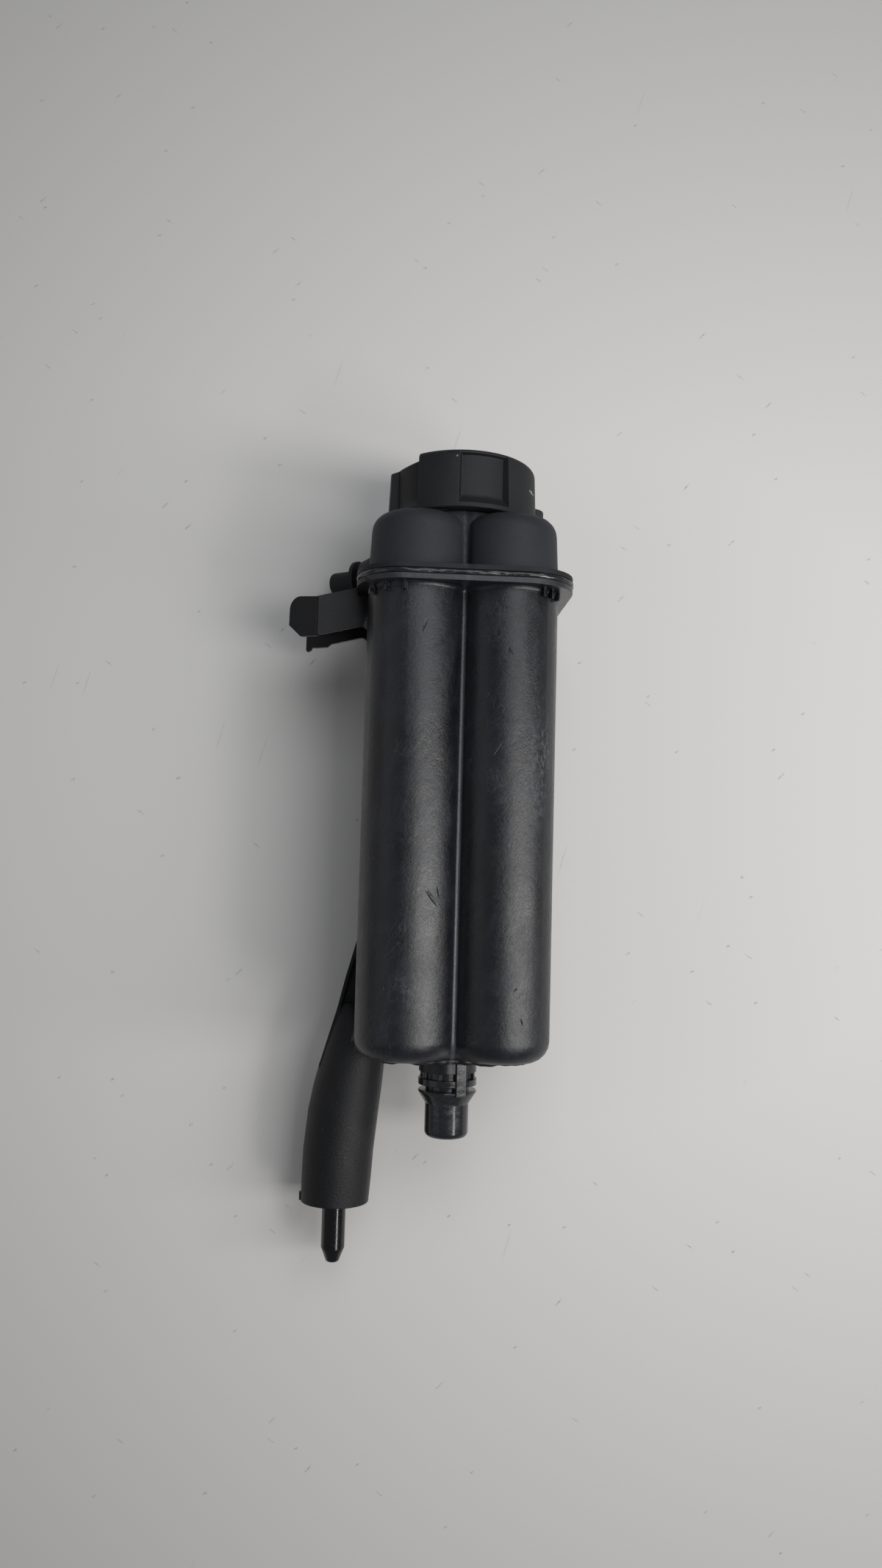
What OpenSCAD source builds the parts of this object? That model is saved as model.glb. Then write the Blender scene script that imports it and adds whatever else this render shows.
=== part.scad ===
// Coolant expansion tank with a screw pressure cap, a quick-connect outlet, an arm and a leg.
// The tank stands upright. The origin is on its axis, at the shoulder of the outlet spigot.

/* [Tank body] */
// Width and depth of the four-lobed tank
body_w = 88.5; // [88:0.5:90]
// Radius of each lobe
lobe_r = 23; // [22:0.25:23]
// Depth of the grooves between the lobes
groove_depth = 12; // [11:0.25:12]
// Wall thickness of both shells
wall = 2.6; // [2.2:0.1:2.8]
// Height of the lower shell from its bottom to the weld flange
lower_h = 213.5; // [205:0.5:220]
// Radius round the bottom of the tank
corner_r = 9.5; // [8:0.5:10]
// Height of the upper shell above the weld flange
upper_h = 28.5; // [27:0.5:30]
// Radius round the top of the tank
shoulder_r = 8; // [7:0.5:9]
// Narrowing of the upper shell on each side, for the mould
upper_draft = 0.9; // [0.4:0.1:1.2]

/* [Weld flange] */
// Reach of the flange to the arm's side, from the axis
flange_left = 49.3; // [48:0.1:50]
// Reach of the flange to the other side
flange_right = 50.2; // [49:0.1:53]
// Reach of the flange to the front and the rear
flange_depth = 49; // [48:0.1:50]
// Corner radius of the flange
flange_corner = 22; // [18:1:24]
// Thickness of the lower shell's plate
lower_plate = 2.5; // [2.2:0.1:3]
// Thickness of the upper shell's plate
upper_plate = 2.2; // [2:0.1:2.6]
// Height of the weld between the plates
weld_h = 2.7; // [2.2:0.1:3]

/* [Outlet spigot] */
// Height of the tank's bottom above the spigot's shoulder
spigot_root = 23.1; // [22.5:0.1:25]
// Radius of the straight tube
spigot_r = 10.2; // [9.8:0.05:10.5]
// Length of the straight tube
spigot_tube = 12.4; // [10:0.2:15]
// Rounding of the tube's end
spigot_end = 2.8; // [2:0.1:3]
// Radius of the bore
spigot_bore = 7.3; // [6.5:0.1:7.5]
// Radius of the stop rings
ring_r = 13.7; // [13:0.1:14.2]
// Width of the locating key
key_w = 4.9; // [4:0.1:5.5]
// Angle of the key from the front
key_angle = 22.5; // [15:0.5:30]

/* [Leg and locating pin] */
// Distance of the leg's foot from the axis
leg_x = 51.2; // [49:0.2:53]
// Distance of the leg behind the axis
leg_y = 26; // [24:0.5:27]
// Radius of the leg at its foot
leg_r = 16.3; // [15.5:0.1:17]
// Length of the leg below the spigot's shoulder
leg_drop = 51.5; // [49:0.5:55]
// Height at which the leg's web runs into the tank
web_top = 75; // [72:1:78]
// Radius of the locating pin
pin_r = 5.7; // [5:0.1:6]
// Length of the pin below the leg
pin_len = 28.8; // [26:0.2:34]
// Length of the pin's tapered tip
pin_taper = 7; // [5:0.5:8]

/* [Arm] */
// Distance of the arm's crease from the axis
arm_x = 69.3; // [67:0.1:71]
// Front face of the arm, in front of the axis
arm_front = 12; // [11:0.5:13]
// Rear face of the arm, behind the axis
arm_rear = 18; // [16:0.5:19]
// Thickness of the arm's plates
arm_t = 2.4; // [2:0.1:3]
// Angle at which the arm's head bends back
head_bend = 38; // [30:1:42]

/* [Cap] */
// Radius of the cap at its rim
cap_r = 36; // [35.6:0.1:36.2]
// Height of the cap
cap_h = 28.2; // [27.5:0.1:29]
// Narrowing of the cap towards its top
cap_draft = 0.9; // [0.6:0.1:1.2]
// Rounding of the cap's top edge
cap_round = 3.4; // [2.5:0.1:4]
// Width of a recess, in degrees
recess_width = 38; // [34:1:42]
// Angle of the first finger recess from the front
recess_angle = 13; // [0:0.1:40]
// Angle from the first recess to the second, and the pair is repeated at the back
recess_pitch = 73; // [60:1:90]
// Radius at the floor of a recess
recess_r = 31.9; // [31.4:0.1:32.4]
// Height of the lip under a recess
recess_lip = 2; // [1.6:0.2:3]
// Travel of one turn of the cap's thread
cap_lead = 4; // [3:0.5:5]

/* [Filler neck and valves] */
// Bore of the filler neck, as a radius
neck_bore = 21.5; // [21:0.1:21.8]
// Outer radius of the filler neck, under its thread
neck_r = 26.6; // [26:0.1:26.8]
// Clearance between the valve insert and the neck
insert_gap = 0.3; // [0.2:0.05:0.4]
// Lift of the pressure relief plate
relief_lift = 2.5; // [2:0.1:3]

/* [Bleed screw] */
// Distance of the screw to the side of the axis
bleed_x = 36.5; // [36.4:0.1:37]
// Distance of the screw behind the axis
bleed_y = 23.6; // [23.5:0.1:24]
// Radius of the screw's head
bleed_head_r = 7; // [6:0.1:7.1]

/* [Hidden] */
$fn = 96;

// Levels of the tank
tank_z = spigot_root;
flange_z = tank_z + lower_h;
weld_z = flange_z + lower_plate + weld_h / 2;
flange_top = flange_z + lower_plate + weld_h + upper_plate;
top_z = flange_top + upper_h;
collar_z = top_z + 1.2;
rim_z = collar_z + 0.7;
cap_top = rim_z + cap_h;
boss_h = 11;

// The lobed outline
lobe_c = body_w / 2 - lobe_r;
floor_step = lobe_r - groove_depth;
groove_fr = (floor_step * floor_step + lobe_c * lobe_c - lobe_r * lobe_r) / (2 * groove_depth);
groove_c = body_w / 2 - groove_depth + groove_fr;
groove_a = atan2(groove_c - lobe_c, lobe_c);
lobe_steps = 24;
groove_steps = 6;

// Parts inside the cap
insert_r = neck_bore - insert_gap;
insert_z = top_z - 8.7;
neck_top = cap_top - 6.7;
cap_ceiling = cap_top - 3.2;
thread_r = neck_r + 2;
seat_z = insert_z + 3;
seal_t = 1.7;
plate_z = seat_z + 0.1 + seal_t;
plate_t = 2.2;
cover_z = neck_top - 4.6;
housing_r = 14.5;
vacuum_head_z = plate_z + plate_t + 6.8;

// Level gauge inside the tank
well_xy = 18;
well_r = 8;
well_bore = 6;
well_top = tank_z + 36;
float_r = 15;
float_bore = 9.2;
float_z = tank_z + 11;
float_h = 44;
rod_xy = 9.5;
rod_r = 2;
rod_top = top_z - 45;
dip_z = top_z - 17.2;

plastic = [0.16, 0.165, 0.18];
matt = [0.2, 0.205, 0.22];
rubber = [0.07, 0.07, 0.075];
steel = [0.7, 0.71, 0.72];

// Points on an arc about [x, y], from angle a to angle b
function arc(x, y, r, a, b, steps) = [
    for (i = [0 : steps]) let (t = a + (b - a) * i / steps) [x + r * cos(t), y + r * sin(t)]
];

function turned(p, a) = [p.x * cos(a) - p.y * sin(a), p.x * sin(a) + p.y * cos(a)];

// One lobe and the groove that follows it
function quarter(inset) = let (
    lobe = arc(lobe_c, lobe_c, lobe_r - inset, groove_a - 90, 180 - groove_a, lobe_steps),
    groove = arc(0, groove_c, groove_fr + inset, -groove_a, groove_a - 180, groove_steps)
) concat(lobe, [for (i = [1 : groove_steps - 1]) groove[i]]);

// The tank's outline, set in from its outside by inset
function clover(inset) = [for (q = [0 : 3]) for (p = quarter(inset)) turned(p, 90 * q)];

function rounded_box(left, right, depth, r) = concat(
    arc(right - r, depth - r, r, 0, 90, 8),
    arc(r - left, depth - r, r, 90, 180, 8),
    arc(r - left, r - depth, r, 180, 270, 8),
    arc(right - r, r - depth, r, 270, 360, 8)
);

// A closed skin through rings of equal length, with a point at the middle of each end
module skin(rings, first, last) {
    n = len(rings[0]);
    points = concat([first], [for (ring = rings) for (p = ring) p], [last]);
    end = len(points) - 1;
    top = 1 + (len(rings) - 1) * n;
    polyhedron(points, concat(
        [for (i = [0 : n - 1]) [0, 1 + i, 1 + (i + 1) % n]],
        [for (j = [0 : len(rings) - 2]) for (i = [0 : n - 1]) let (a = 1 + j * n, k = (i + 1) % n)
            [a + i, a + n + i, a + n + k]],
        [for (j = [0 : len(rings) - 2]) for (i = [0 : n - 1]) let (a = 1 + j * n, k = (i + 1) % n)
            [a + i, a + n + k, a + k]],
        [for (i = [0 : n - 1]) [end, top + (i + 1) % n, top + i]]
    ));
}

// A wall whose section is a list of [inset, height], carried round the lobed outline
module lobed_wall(profile) {
    rings = [for (p = profile) [for (q = clover(p[0])) [q.x, q.y, p[1]]]];
    skin(rings, [0, 0, profile[0][1]], [0, 0, profile[len(profile) - 1][1]]);
}

// Quarter-round of a section, from flat to upright
function bend(inset, z, r, steps, up) = [
    for (i = [0 : steps]) let (t = 90 * i / steps) [inset + r * (1 - sin(t)), z + up * r * (1 - cos(t))]
];

function reversed(list) = [for (i = [len(list) - 1 : -1 : 0]) list[i]];

// What lies inside a lobe's wall, kept clear of everything that joins the tank from outside
module lobe_core(x, y) {
    r = lobe_r - wall / 2;
    c = corner_r - wall / 2;
    z = tank_z + wall / 2;
    translate([x, y, 0])
        rotate_extrude()
            polygon(concat([[0, z]], arc(r - c, z + c, c, 270, 360, 8), [[r, top_z], [0, top_z]]));
}

module plate_ring(z, h, inset) {
    outline = rounded_box(flange_left - inset, flange_right - inset, flange_depth - inset,
        flange_corner - inset);
    hole = clover(wall / 2);
    n = len(outline);
    m = len(hole);
    translate([0, 0, z])
        linear_extrude(h)
            polygon(concat(outline, hole), [[for (i = [0 : n - 1]) i], [for (i = [0 : m - 1]) n + i]]);
}

// Ribs that stiffen the flange at the corners, as angles about each lobe's middle
front_ribs = [[-1, [-106, -128, -152]], [1, [-56, -44, -30]]];
rear_ribs = [[-1, [106, 128]], [1, [56, 44, 30]]];

module flange_rib(x, y, angle, reach) {
    translate([x, y, flange_z - 4])
        rotate([0, 0, angle])
            translate([lobe_r - wall / 2, -0.7, 0])
                cube([reach, 1.4, 4.4]);
}

module flange_ribs() {
    for (side = front_ribs) for (a = side[1]) flange_rib(side[0] * lobe_c, -lobe_c, a, 3.8);
    for (side = rear_ribs) for (a = side[1]) flange_rib(side[0] * lobe_c, lobe_c, a, 3.8);
}

module lower_cup() {
    lip = [[0, flange_z - 1.7], [-0.4, flange_z - 0.6], [-1.2, flange_z + 0.4], [0, flange_z + 0.5]];
    outside = bend(0, tank_z, corner_r, 5, 1);
    inside = reversed(bend(wall, tank_z + wall, corner_r - wall, 4, 1));
    lobed_wall(concat(outside, lip, [[0, weld_z], [wall, weld_z]], inside));
}

module spigot_rings() {
    root = spigot_root;
    rotate_extrude()
        polygon(concat(
            [[spigot_bore, -spigot_tube - spigot_end]],
            arc(spigot_r - spigot_end, -spigot_tube, spigot_end, 270, 360, 6),
            [[spigot_r, 0.4], [ring_r - 0.1, 5.6], [ring_r, 6.1], [ring_r - 0.3, 6.7],
             [spigot_r, 6.7], [spigot_r, 9.1], [ring_r, 9.1], [ring_r, 12], [ring_r - 2.4, 12],
             [ring_r - 2.4, 15.2], [ring_r - 0.2, 15.2], [ring_r - 0.2, root + wall / 2],
             [spigot_bore, root + wall / 2]]
        ));
}

// Short ribs in the upper groove of the spigot, and the key that stops a hose from turning
module spigot_ribs() {
    root = spigot_root + wall / 2;
    for (i = [0 : 7])
        rotate([0, 0, -90 + key_angle + 45 * i])
            translate([ring_r - 3, -0.8, 11.6])
                cube([2.5, 1.6, 4]);
    rotate([0, 0, -90 + key_angle])
        translate([spigot_r - 0.6, -key_w / 2, 4.9])
            cube([ring_r - spigot_r + 1.5, key_w, root - 4.9]);
}

// Stations of the leg: height, left and right edge from the axis, front and rear edge from its middle
leg_stations = [
    [-leg_drop, leg_x + leg_r, leg_x - leg_r, leg_r],
    [-40, 67.5, 34, leg_r + 0.4],
    [-27, 67.2, 33.2, leg_r + 0.6],
    [-8, 65.4, 31.3, leg_r + 0.6],
    [4, 63.2, 30, leg_r + 0.2],
    [14.4, 60.5, 29.1, leg_r - 0.6],
    [21, 58.6, 29, leg_r - 1.8],
    [26, 57.1, 30, leg_r - 3.4],
    [32, 55.4, 33, leg_r - 6],
    [38, 53.6, 38, leg_r - 9.4],
    [43, 52.3, 43, leg_r - 13]
];

function leg_ring(s) = let (c = -(s[1] + s[2]) / 2, a = (s[1] - s[2]) / 2)
    [for (i = [0 : 35]) [c + a * cos(10 * i), leg_y + s[3] * sin(10 * i), s[0]]];

function leg_middle(s) = [-(s[1] + s[2]) / 2, leg_y, s[0]];

// Thin web above the leg, with a rim along its free edge
module leg_web() {
    edge = concat([[-44, web_top]], [[-49.5, 54.9], [-52.9, 40.5], [-57.1, 25.9], [-61, 12.5]]);
    inner = [for (p = reversed(edge)) [p[0] + 1.3, p[1] - 1.5]];
    translate([0, leg_y + 3, 0])
        rotate([90, 0, 0])
            linear_extrude(2.4)
                polygon(concat(edge, [[-40, 12.5], [-40, web_top - 3]]));
    translate([0, leg_y + 6, 0])
        rotate([90, 0, 0])
            linear_extrude(10)
                polygon(concat(edge, inner));
}

module leg_cavity() {
    translate([-leg_x, leg_y, -leg_drop - 1])
        rotate([0, 4.5, 0])
            cylinder(h = 50, r1 = leg_r - wall, r2 = leg_r - wall - 0.8);
}

// Cross ribs that tie the pin to the inside of the leg
module leg_ribs() {
    intersection() {
        translate([-leg_x - 0.2, leg_y, -leg_drop + 4]) {
            translate([-20, -1, 0])
                cube([40, 2, 52]);
            translate([-1, -20, 0])
                cube([2, 40, 52]);
        }
        translate([-leg_x, leg_y, -leg_drop - 2])
            rotate([0, 4.5, 0])
                cylinder(h = 56, r = leg_r - wall + 0.8);
    }
}

module locating_pin() {
    tip = 1.4;
    translate([-leg_x - 0.2, leg_y, 0])
        rotate_extrude()
            polygon(concat(
                [[0, -leg_drop - pin_len]],
                arc(pin_r - 2.3 - tip, tip - leg_drop - pin_len, tip, 270, 340, 4),
                [[pin_r, pin_taper - leg_drop - pin_len], [pin_r, -leg_drop], [pin_r - 0.8, -leg_drop],
                 [pin_r - 0.8, 0], [0, 0]]
            ));
}

module leg() {
    difference() {
        union() {
            skin([for (s = leg_stations) leg_ring(s)], leg_middle(leg_stations[0]),
                leg_middle(leg_stations[len(leg_stations) - 1]));
            leg_web();
            translate([-leg_x - leg_r + 0.4, leg_y, -leg_drop])
                cylinder(h = 4, r = 1.3);
        }
        leg_cavity();
        lobe_core(-lobe_c, lobe_c);
    }
    leg_ribs();
    locating_pin();
}

// Upper edge of the arm at a distance from the axis
function arm_top(x) = flange_z + min(4.5 + (48.1 - x) * 0.274, 3.9);
function arm_bottom(x) = flange_z - 14.3 + (46.9 - x) * 0.25;

// Fillet between the arm's lower edge and the tank
function arm_fillet() = arc(-47.1, arm_bottom(47.1) - 3.2, 3.2, 86, 4, 5);

module arm_plate(y, points) {
    translate([0, y + arm_t, 0])
        rotate([90, 0, 0])
            linear_extrude(arm_t)
                polygon(points);
}

module arm_front_plate() {
    arm_plate(-arm_front, concat(
        [[-40, arm_top(40)], [-49.6, arm_top(49.6)], [-arm_x, arm_top(arm_x)], [-arm_x, arm_bottom(arm_x)]],
        arm_fillet(),
        [[-40, arm_bottom(40) - 9]]
    ));
}

module arm_rear_plate() {
    low = arm_bottom(62);
    arm_plate(arm_rear - arm_t, concat(
        [[-40, arm_top(40)], [-49.6, arm_top(49.6)], [-arm_x, arm_top(arm_x)], [-74, low + 12],
         [-74, low - 3.6], [-73, low - 4.4], [-71.2, low - 3.4], [-70.8, low - 2.2], [-63.4, low - 1.6],
         [-61.6, low]],
        arm_fillet(),
        [[-40, arm_bottom(40) - 9]]
    ));
}

// Head of the arm, bent back about the crease
module arm_head() {
    low = arm_bottom(arm_x);
    high = arm_top(arm_x);
    translate([-arm_x, -arm_front, 0])
        rotate([0, 0, -head_bend])
            translate([0, arm_t, 0])
                rotate([90, 0, 0])
                    linear_extrude(arm_t)
                        polygon(concat(
                            [[1.5, low], [1.5, high]],
                            arc(-9.4, high - 4.8, 6, 88, 172, 6),
                            [[-15.5, low + 6.4], [-8.2, low + 0.4]]
                        ));
}

module arm() {
    top = [[-33, arm_top(40)], [-49.6, arm_top(49.6)], [-arm_x, arm_top(arm_x)],
        [-arm_x, arm_top(arm_x) - arm_t], [-49.6, arm_top(49.6) - arm_t], [-33, arm_top(40) - arm_t]];
    difference() {
        union() {
            arm_front_plate();
            arm_rear_plate();
            arm_head();
            translate([0, arm_rear, 0])
                rotate([90, 0, 0])
                    linear_extrude(arm_front + arm_rear)
                        polygon(top);
        }
        lobe_core(-lobe_c, -lobe_c);
        lobe_core(-lobe_c, lobe_c);
    }
}

// Dry pocket that takes the level sensor from below
module sensor_well() {
    translate([well_xy, well_xy, 0])
        rotate_extrude()
            polygon(concat([[0, tank_z + wall / 2], [well_r, tank_z + wall / 2]],
                arc(well_r - 2, well_top - 2, 2, 0, 90, 4), [[0, well_top]]));
}

module lower_shell() {
    color(plastic)
        difference() {
            union() {
                lower_cup();
                plate_ring(flange_z, lower_plate, 0);
                plate_ring(flange_z + lower_plate - 0.01, weld_h / 2 + 0.01, 0.7);
                flange_ribs();
                spigot_rings();
                spigot_ribs();
                sensor_well();
                leg();
                arm();
            }
            translate([0, 0, -spigot_tube - spigot_end - 1])
                cylinder(h = spigot_tube + spigot_end + tank_z + wall + 2, r = spigot_bore);
            translate([well_xy, well_xy, tank_z - 1])
                cylinder(h = well_top - wall - tank_z + 1, r = well_bore);
        }
}

// The return hose pushes onto this nipple
nipple_yaw = 28;
nipple_drop = 2;
nipple_at = [-49.2, 36.1, top_z - 17.2];
nipple_r = 6;
nipple_bore = 3.6;
nipple_len = 15.1;

module along_nipple() {
    translate(nipple_at)
        rotate([0, 0, 180 - nipple_yaw])
            rotate([0, 90 + nipple_drop, 0])
                children();
}

module nipple() {
    along_nipple()
        rotate_extrude()
            polygon(concat(
                [[0, -15], [12, -15], [12, -10], [10, -4], [nipple_r, -3.6], [nipple_r, -1], [10.4, -1],
                 [10.4, 0.9], [nipple_r, 0.9]],
                arc(nipple_r - 2, nipple_len - 2, 2, 0, 90, 6),
                [[0, nipple_len]]
            ));
}

module neck() {
    rotate_extrude()
        polygon([
            [neck_bore - 1.5, dip_z], [neck_bore + wall, dip_z], [neck_bore + wall, top_z - wall - 0.6],
            [31.6, top_z - 9], [31.4, top_z - 6], [30.6, collar_z], [neck_r, collar_z],
            [neck_r, neck_top - 1.2], [neck_r - 1.2, neck_top], [neck_bore - 1.5, neck_top]
        ]);
}

module upper_cup() {
    side = top_z - shoulder_r;
    inside = bend(wall + upper_draft, top_z - wall, shoulder_r - wall, 4, -1);
    outside = reversed(bend(upper_draft, top_z, shoulder_r, 5, -1));
    lobed_wall(concat(inside, [[wall, weld_z], [0, weld_z], [0, flange_top - 0.6], [-0.8, flange_top - 0.2],
        [0, flange_top + 0.8]], outside));
}

module upper_shell() {
    color(matt)
        difference() {
            union() {
                upper_cup();
                plate_ring(weld_z, weld_h / 2 + 0.01, 0.7);
                plate_ring(flange_top - upper_plate, upper_plate, 0);
                neck();
                difference() {
                    union() {
                        nipple();
                        translate([bleed_x, bleed_y, top_z - 9])
                            cylinder(h = 9 + boss_h, r = bleed_head_r - 0.4);
                    }
                    lobe_core(-lobe_c, lobe_c);
                }
            }
            translate([0, 0, dip_z - 1])
                cylinder(h = neck_top - dip_z + 2, r = neck_bore - 1.5);
            translate([0, 0, dip_z + 3.2])
                cylinder(h = neck_top - dip_z, r = neck_bore);
            along_nipple()
                translate([0, 0, -18])
                    cylinder(h = 18 + nipple_len + 1, r = nipple_bore);
            translate([bleed_x, bleed_y, top_z - 12])
                cylinder(h = 13 + boss_h, r = 3.1);
            translate([bleed_x, bleed_y, top_z + boss_h - 2.6])
                cylinder(h = 5, r = 5.6);
        }
}

// Ring pressed into the neck, with an eye that guides the gauge rod
module neck_guide() {
    color(matt)
        translate([0, 0, dip_z + 3.25])
            difference() {
                union() {
                    difference() {
                        cylinder(h = 3, r = neck_bore - 0.05);
                        translate([0, 0, -1])
                            cylinder(h = 5, r = neck_bore - 2.4);
                    }
                    intersection() {
                        translate([rod_xy, rod_xy, 0])
                            rotate([0, 0, 45])
                                translate([0, -2, 0])
                                    cube([9, 4, 3]);
                        cylinder(h = 3, r = neck_bore - 1);
                    }
                    translate([rod_xy, rod_xy, 0])
                        cylinder(h = 3, r = 4.6);
                }
                translate([rod_xy, rod_xy, -1])
                    cylinder(h = 5, r = rod_r + 0.3);
            }
}

function cap_side(z) = cap_r - cap_draft * z / cap_h;

// What is left of the cap at a recess: a ledge that runs out to the rim, a floor and a rounded top
module recess_floor() {
    rotate_extrude()
        polygon(concat(
            [[0, -1], [cap_r + 6, -1], [cap_r + 6, recess_lip], [cap_r, recess_lip],
             [cap_r - 1.2, recess_lip + 0.8], [recess_r + 0.9, recess_lip + 3.1], [recess_r + 0.2, recess_lip + 4.1],
             [recess_r, recess_lip + 5.2]],
            [[recess_r, cap_h - 3.4], [recess_r + 0.3, cap_h - 2.7], [recess_r + 1.7, cap_h - 2]],
            arc(recess_r + 0.5, cap_h - 1.5, 1.2, 0, 86, 4),
            [[0, cap_h - 0.3]]
        ));
}

module cap_recess() {
    inner = recess_r - 4;
    outer = cap_r + 4;
    a = recess_width / 2 - 3.6;
    b = recess_width / 2 + 3;
    difference() {
        linear_extrude(cap_h + 1)
            polygon([[inner * cos(a), -inner * sin(a)], [outer * cos(b), -outer * sin(b)],
                [outer * cos(b), outer * sin(b)], [inner * cos(a), inner * sin(a)]]);
        recess_floor();
    }
}

// Flat that slopes off the top beside the second recess
module cap_flat() {
    inner = recess_r * sin(recess_width / 2 + 1.8);
    rotate([90, 0, 0])
        translate([0, 0, -inner])
            linear_extrude(60 + inner)
                polygon([[recess_r - 9, cap_h], [cap_r + 2, cap_h - 6.6], [cap_r + 2, cap_h + 1], [recess_r - 9, cap_h + 1]]);
}

// Slots that core out the grips from below
module grip_core() {
    linear_extrude(cap_h - 6)
        polygon(concat(arc(0, 0, 30.6, -8, 8, 6), arc(0, 0, 33, 8, -8, 6)));
}

module cap_grip() {
    color(matt)
        translate([0, 0, rim_z])
            difference() {
                rotate_extrude()
                    polygon(concat(
                        [[0, 0], [cap_r - 0.4, 0], [cap_r, 0.5]],
                        arc(cap_side(cap_h) - cap_round, cap_h - cap_round - 0.3, cap_round, 2, 86, 7),
                        [[24, cap_h], [0, cap_h]]
                    ));
                for (side = [0, 180], a = [0, -recess_pitch])
                    rotate([0, 0, -90 + recess_angle + a + side])
                        cap_recess();
                for (side = [0, 180], a = [-recess_pitch / 2, 36, 71])
                    rotate([0, 0, -90 + recess_angle + a + side])
                        translate([0, 0, -1])
                            grip_core();
                rotate([0, 0, -90 + recess_angle - recess_pitch])
                    cap_flat();
                rotate_extrude()
                    polygon([
                        [0, -1], [thread_r + 1.4, -1], [thread_r + 0.2, 1.6], [thread_r, 2.4],
                        [thread_r, neck_top - rim_z - 1.6], [thread_r - 1.1, neck_top - rim_z - 0.9],
                        [thread_r - 1.1, neck_top - rim_z - 0.5], [thread_r, neck_top - rim_z + 0.1],
                        [thread_r, cap_ceiling - rim_z], [0, cap_ceiling - rim_z]
                    ]);
            }
}

seal_z = [insert_z + 4.2, insert_z + 10.2];
groove_h = 3.2;

// The insert hangs in the cap and seals in the neck, so it doesn't turn with the cap
module valve_insert() {
    color(matt)
        difference() {
            rotate_extrude()
                polygon(concat(
                    [[5.5, insert_z], [insert_r - 1.6, insert_z], [insert_r, insert_z + 2]],
                    [for (z = seal_z) each [[insert_r, z - groove_h / 2], [insert_r - 2.2, z - groove_h / 2],
                        [insert_r - 2.2, z + groove_h / 2], [insert_r, z + groove_h / 2]]],
                    [[insert_r, neck_top + 0.3], [thread_r - 0.4, neck_top + 0.3],
                     [thread_r - 0.4, cap_ceiling - 0.3], [housing_r + 1.6, cap_ceiling - 0.3],
                     [housing_r + 1.6, cover_z], [housing_r, cover_z], [housing_r, seat_z], [5.5, seat_z]]
                ));
            for (a = [45 : 90 : 315])
                rotate([0, 90, a])
                    translate([-insert_z - 18, 0, housing_r - 1])
                        cylinder(h = 9, r = 1.6, $fn = 32);
        }
}

module ring_seal(z, mean_r, section_r) {
    color(rubber)
        translate([0, 0, z])
            rotate_extrude()
                translate([mean_r, 0])
                    circle(r = section_r, $fn = 48);
}

module insert_seal_lower() {
    ring_seal(seal_z[0], insert_r - 0.95, 1.2);
}

module insert_seal_upper() {
    ring_seal(seal_z[1], insert_r - 0.95, 1.2);
}

module spring_cover() {
    color(matt)
        translate([0, 0, cover_z + 0.02])
            difference() {
                union() {
                    cylinder(h = 2.2, r = housing_r + 1.5);
                    translate([0, 0, -2.4])
                        cylinder(h = 3, r = 8.4);
                }
                translate([0, 0, -3])
                    cylinder(h = 7, r = 6.6);
            }
}

module relief_plate() {
    color(steel)
        difference() {
            union() {
                translate([0, 0, plate_z])
                    cylinder(h = plate_t, r = 12.8);
                translate([0, 0, plate_z])
                    cylinder(h = plate_t + 1.8, r = 8.6);
            }
            translate([0, 0, plate_z + plate_t - 0.6])
                cylinder(h = 4, r = 6.6);
            translate([0, 0, plate_z - 1])
                cylinder(h = 6, r = 1.75);
        }
}

module relief_seal() {
    color(rubber)
        translate([0, 0, seat_z + 0.08])
            difference() {
                cylinder(h = seal_t, r = 10.6);
                translate([0, 0, -1])
                    cylinder(h = 4, r = 6.4);
            }
}

// A round wire coiled between two heights
module coil(mean_r, wire_r, low, high, turns, steps, sides) {
    pitch = (high - low - 2 * wire_r) / turns;
    count = turns * steps;
    rings = [for (i = [0 : count]) let (t = 360 * i / steps)
        [for (k = [0 : sides - 1]) let (s = -360 * k / sides, r = mean_r + wire_r * cos(s))
            [r * cos(t), r * sin(t), low + wire_r + pitch * i / steps + wire_r * sin(s)]]];
    skin(rings, [mean_r, 0, low + wire_r], [mean_r * cos(360 * turns), mean_r * sin(360 * turns), high - wire_r]);
}

module relief_spring() {
    color(steel)
        coil(10.7, 0.8, plate_z + plate_t + 0.1, cover_z - 0.1, 6, 20, 6);
}

module vacuum_valve() {
    color(steel)
        rotate_extrude()
            polygon([
                [0, plate_z - 1.6], [4.6, plate_z - 1.6], [4.6, plate_z - 0.6], [1.2, plate_z - 0.6],
                [1.2, vacuum_head_z], [3.2, vacuum_head_z], [3.2, vacuum_head_z + 0.8], [0, vacuum_head_z + 0.8]
            ]);
}

module vacuum_seal() {
    color(rubber)
        translate([0, 0, plate_z - 0.58])
            difference() {
                cylinder(h = 0.5, r = 4.4);
                translate([0, 0, -1])
                    cylinder(h = 3, r = 1.75);
            }
}

module vacuum_spring() {
    color(steel)
        coil(2.4, 0.3, plate_z + plate_t - 0.55, vacuum_head_z - 0.05, 6, 16, 5);
}

module bleed_screw() {
    head_z = top_z + boss_h + 0.15;
    color(plastic)
        translate([bleed_x, bleed_y, 0])
            difference() {
                rotate_extrude()
                    polygon(concat(
                        [[0, top_z - 3], [2.2, top_z - 3], [2.9, top_z - 2.1], [2.9, head_z], [bleed_head_r - 0.4, head_z],
                         [bleed_head_r, head_z + 0.5]],
                        arc(bleed_head_r - 1.2, head_z + 7.3, 1.2, 0, 90, 5),
                        [[0, head_z + 8.5]]
                    ));
                translate([-bleed_head_r - 1, -1.3, head_z + 4.9])
                    cube([2 * bleed_head_r + 2, 2.6, 5]);
                for (a = [0 : 30 : 330])
                    rotate([0, 0, a + 15])
                        translate([bleed_head_r + 0.5, 0, head_z - 1])
                            cylinder(h = 12, r = 0.9, $fn = 24);
            }
}

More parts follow.
